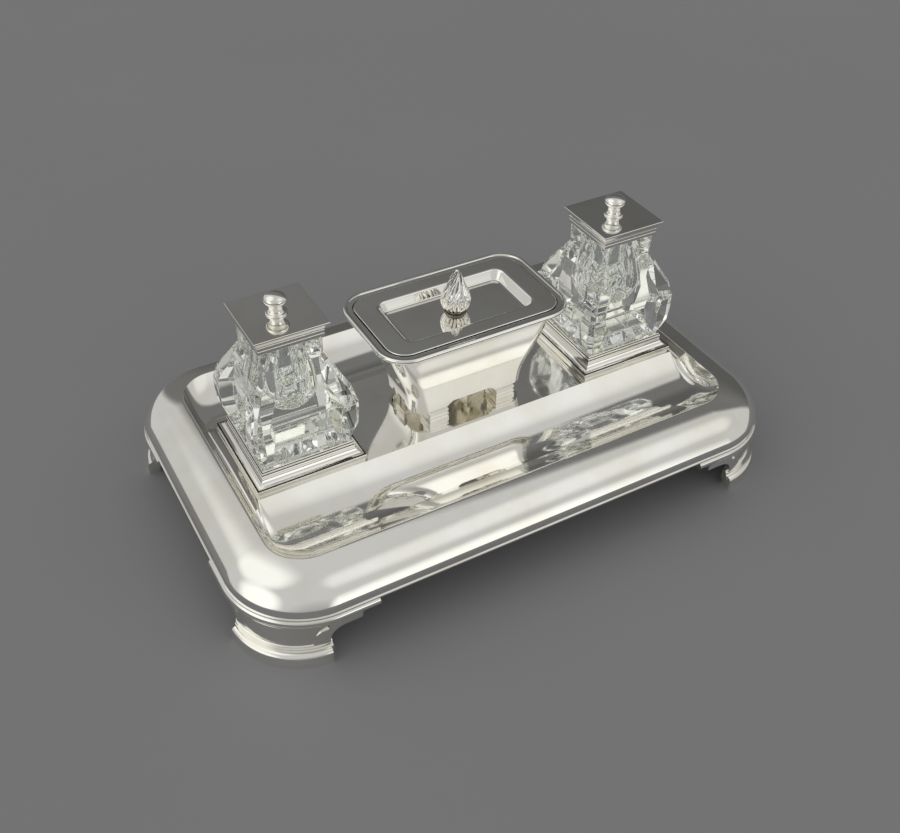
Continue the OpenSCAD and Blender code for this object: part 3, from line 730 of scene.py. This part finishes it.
def buildBottle(name, side, b):
    up = b["top"] - b["start"]
    half, low, base, neck = b["half"], b["start"], b["base"], b["neck"]
    x, shoulder = side * b["centre"], low + b["neckFrom"] * up
    swell = [(size * half, share) for size, share in b["swell"]] + [(neck + 0.5, 0.765)]
    outline = [(b["foot"] - 0.35, base + 0.06), (b["foot"], base + 0.4), (b["foot"], low)]
    outline += [(size, low + share * up) for size, share in swell]
    outline += [(neck, shoulder), (neck, b["top"])]
    piece = loftPiece(name, [squareRow(size, height, (x, 0.0)) for size, height in outline])
    root = math.sqrt(2)  # a corner lies at 2 half widths, so foot and neck stay uncut
    fins = [(root * 1.425 * b["foot"], base - 1), (root * 1.425 * b["foot"], low)]
    fins += [(2 * size - root * b["cornerCut"], low + share * up) for size, share in swell]
    fins += [(root * 1.42 * neck, shoulder), (root * 1.42 * neck, b["top"] + 1)]
    cutAway(piece, loftPiece("fins", [turnedRow(reach, height, x) for reach, height in fins]), "INTERSECT")
    inside, reach = b["fluteFloor"], half + 3
    flare = b["fluteFlare"] * (reach - inside)
    for quarter in range(4):
        turn = Matrix.Rotation(math.radians(90 * quarter), 3, "Z")
        rows = []
        for share, flat in b["fluteHalf"]:  # walls break at each level, as cut facets do
            height = low + share * up
            outer = height - (0.0 if rows else b["fluteDrop"] * (reach - inside))
            rows.append([turn @ Vector(point) + Vector((x, 0, 0)) for point in (
                (-flat - flare, -reach, outer), (flat + flare, -reach, outer),
                (flat, -inside, height), (-flat, -inside, height))])
        cutAway(piece, loftPiece("flute", rows))
    applyBevel(piece, 0.25, 2, 8)
    r, m = b["well"], b["mouth"]
    well = [(0.01, low + 0.31 * up)]
    well += arcPoints((0.4 * r, low + 0.32 * up), (r, low + 0.48 * up), -32, 40)
    well += arcPoints((r, low + 0.49 * up), (m, low + 0.80 * up), -10, 40)
    well += [(m, b["top"] + 2), (0.01, b["top"] + 2)]
    cutAway(piece, turnPiece("inkWell", well, (x, 0.0), b["wellCuts"]))
    smoothShade(piece, 20)
    return piece


cover = {
    "plate": 20.0, "plateLow": 137.0, "plateTop": 138.2, "seat": 132.0, "neck": 16.5, "gap": 0.5,
    "collar": [  # out from the neck, up from the seat
        (0.06, -3.0), (0.7, -3.0), (1.1, -2.6), (1.1, -0.9), (0.9, -0.7), (0.9, 0.0), (0.06, 0.0),
    ],
}


def collarProfile(c):
    return [(c["neck"] + out, c["seat"] + up) for out, up in c["collar"]]


def skirtProfile(c):
    inner, deep = c["neck"] + c["gap"], c["plateLow"] - c["seat"]
    low, top = inner + 0.7, c["plate"] - 1.7
    steps = [(low, 0.0), (low, 1.2), (low - 0.3, 1.4), (low - 0.3, 2.0), (low, 2.2), (top - 0.2, 4.0),
             (top, 4.2), (top, deep), (inner, deep), (inner, 0.0)]
    return [(half, c["seat"] + up) for half, up in steps]


def buildSquareFrame(name, side, profile):
    rows = [squareRow(half, height, (side * bottle["centre"], 0.0)) for half, height in profile]
    piece = loftPiece(name, rows + [rows[0]])
    applyBevel(piece, 0.08, 2, 35)
    smoothShade(piece, 30)
    return piece


def buildPlate(name, side, c):
    half = c["plate"]
    rows = [squareRow(size, height, (side * bottle["centre"], 0.0)) for size, height in (
        (half - 0.25, c["plateLow"]), (half, c["plateLow"] + 0.25), (half, c["plateTop"] - 0.2),
        (half - 0.2, c["plateTop"]))]
    piece = loftPiece(name, rows)
    applyBevel(piece, 0.1, 2, 20)
    smoothShade(piece, 30)
    return piece


knob = {
    "radius": 5.95, "height": 11.6, "base": 138.2, "stem": 3.6, "ring": 5.5,
    "ballHalf": 3.45, "ringRound": 0.5, "ringHalf": 0.48,
}


def buildKnob(name, side, k):
    radius, tall, stem = k["radius"], k["ballHalf"], k["stem"]
    middle, thick = k["height"] - tall, k["ringRound"]
    profile = [(0.02, 0.0)]
    for turn in range(-90, 91, 15):  # ring that lies on the plate
        profile.append((k["ring"] - thick + thick * math.cos(math.radians(turn)),
                        thick + k["ringHalf"] * math.sin(math.radians(turn))))
    profile += [(stem + 0.75, 1.02), (stem + 0.55, 1.2)]
    profile += bowPoints((stem + 0.3, 1.5), (stem - 0.1, 2.4), (stem, 4.6), (radius * 0.72, 5.72), 12)
    for turn in range(-42, 91, 4):  # ball
        profile.append((max(0.02, radius * math.cos(math.radians(turn))),
                        middle + tall * math.sin(math.radians(turn))))
    piece = turnPiece(name, [(out, k["base"] + up) for out, up in profile], (side * bottle["centre"], 0.0), 80)
    smoothShade(piece, 40)
    return piece


for sideName, side in (("left", -1), ("right", 1)):
    bottleBody, coverBody = sideName + "_ink_bottle", sideName + "_bottle_cover"
    finishPiece(buildBottle(sideName + "Bottle", side, bottle), glass, bottleBody, "glass", sideName + "_bottle")
    finishPiece(buildSquareFrame(sideName + "NeckCollar", side, collarProfile(cover)), castSilver, bottleBody,
                "silver", sideName + "_neck_collar")
    finishPiece(buildSquareFrame(sideName + "LidSkirt", side, skirtProfile(cover)), castSilver, coverBody,
                "silver", sideName + "_lid_skirt")
    finishPiece(buildPlate(sideName + "LidPlate", side, cover), plateSilver, coverBody, "silver",
                sideName + "_lid_plate")
    finishPiece(buildKnob(sideName + "Knob", side, knob), castSilver, coverBody, "silver", sideName + "_knob")
print("bottles and covers built")

# CAD solids that stay as they are get their finish here
for nodeName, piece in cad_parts.items():
    finish = silver
    if nodeName.endswith("_nut"):
        finish = brass
    elif nodeName.endswith("_bottle"):
        finish = glass
    # the finial collar takes painted shade, standing in for the shaded groove under the finial
    elif nodeName == "finial_collar":
        finish = grooveShade
    if not piece.material_slots:
        piece.data.materials.append(finish)
    for slotEntry in piece.material_slots:
        slotEntry.material = finish
print("kept solids finished")


studio = {
    "floor": (0.26, 0.26, 0.272, 1.0), "floorSize": 9.0, "grainScale": 3.0,
    "sky": (0.58, 0.58, 0.563, 1.0),
    "glows": [  # name, azimuth from the back, elevation, inner and outer angle, colour
        ("front", -165, -4, 8, 40, (0.38, 0.38, 0.375, 1.0)),
        ("aboveRight", 130, 55, 6, 26, (0.86, 0.86, 0.83, 1.0)),
        ("leftHigh", -58, 55, 15, 33, (1.02, 1.02, 0.97, 1.0)),
        ("leftLow", -98, 18, 14, 31, (1.12, 1.12, 1.07, 1.0)),
        ("frontRight", 160, 9, 7, 22, (1.15, 1.15, 1.10, 1.0)),
        ("behind", 40, 12, 45, 51, (0.17, 0.17, 0.168, 1.0)),
        ("behindLow", 45, -2, 28, 46, (0.105, 0.105, 0.103, 1.0)),
    ],
}


def buildStudio(s):
    clearSelection()
    bpy.ops.mesh.primitive_grid_add(x_subdivisions=8, y_subdivisions=8, size=s["floorSize"], location=(0, 0, 0))
    floor = bpy.context.object
    floor.name = "studioFloor"
    material, tree, shader = startMaterial("paperFloor")
    shader.inputs["Roughness"].default_value = 0.85
    coords = addNode(tree, "ShaderNodeTexCoord", (-700, 0))
    grain = addNoise(tree, coords, (-500, 0), s["grainScale"])
    tint = addNode(tree, "ShaderNodeValToRGB", (-280, 0))
    base = s["floor"]
    tint.color_ramp.elements[0].color = tuple(c * 0.96 for c in base[:3]) + (1.0,)
    tint.color_ramp.elements[1].color = tuple(c * 1.04 for c in base[:3]) + (1.0,)
    tree.links.new(grain.outputs["Fac"], tint.inputs["Fac"])
    tree.links.new(tint.outputs["Color"], shader.inputs["Base Color"])
    floor.data.materials.append(material)

    world = bpy.data.worlds.new("studioWorld")
    bpy.context.scene.world = world
    world.use_nodes = True
    tree = world.node_tree
    coords = addNode(tree, "ShaderNodeTexCoord", (-1400, 0))
    colour = None
    for index, (name, azimuth, elevation, inner, outer, level) in enumerate(s["glows"]):  # soft round light fields
        turn, lift = math.radians(azimuth), math.radians(elevation)
        facing = addNode(tree, "ShaderNodeVectorMath", (-1150, -220 * index), operation="DOT_PRODUCT")
        facing.inputs[1].default_value = (math.sin(turn) * math.cos(lift), math.cos(turn) * math.cos(lift),
                                          math.sin(lift))
        tree.links.new(coords.outputs["Generated"], facing.inputs[0])
        fade = addNode(tree, "ShaderNodeMapRange", (-950, -220 * index), interpolation_type="SMOOTHSTEP")
        fade.label = name
        fade.inputs["From Min"].default_value = math.cos(math.radians(outer))
        fade.inputs["From Max"].default_value = math.cos(math.radians(inner))
        tree.links.new(facing.outputs["Value"], fade.inputs["Value"])
        mix = addNode(tree, "ShaderNodeMix", (-700 + 130 * index, -120 * index), data_type="RGBA")
        tree.links.new(fade.outputs["Result"], mix.inputs["Factor"])
        if colour is None:
            mix.inputs["A"].default_value = s["sky"]
        else:
            tree.links.new(colour, mix.inputs["A"])
        mix.inputs["B"].default_value = level
        colour = mix.outputs["Result"]
    tree.links.new(colour, tree.nodes["Background"].inputs["Color"])


view = {"place": (-0.2417, -0.4133, 0.4416), "azimuth": -30.104, "elevation": 40.756, "roll": 1.153, "lens": 42.52}


def placeCamera(v):
    bpy.ops.object.camera_add(location=v["place"])
    camera = bpy.context.object
    camera.name = "photoCamera"
    camera.data.sensor_width = 36.0
    camera.data.sensor_fit = "HORIZONTAL"
    camera.data.lens = v["lens"]
    turn, tip, roll = (math.radians(angle) for angle in (v["azimuth"], 90 - v["elevation"], v["roll"]))
    aim = Matrix.Rotation(turn, 4, "Z") @ Matrix.Rotation(tip, 4, "X") @ Matrix.Rotation(roll, 4, "Z")
    camera.rotation_euler = aim.to_euler()
    bpy.context.scene.camera = camera


buildStudio(studio)
placeCamera(view)
scene = bpy.context.scene
scene.view_settings.view_transform = "Standard"
scene.cycles.max_bounces = 32
scene.cycles.transmission_bounces = 32
scene.cycles.glossy_bounces = 16
print("studio set")
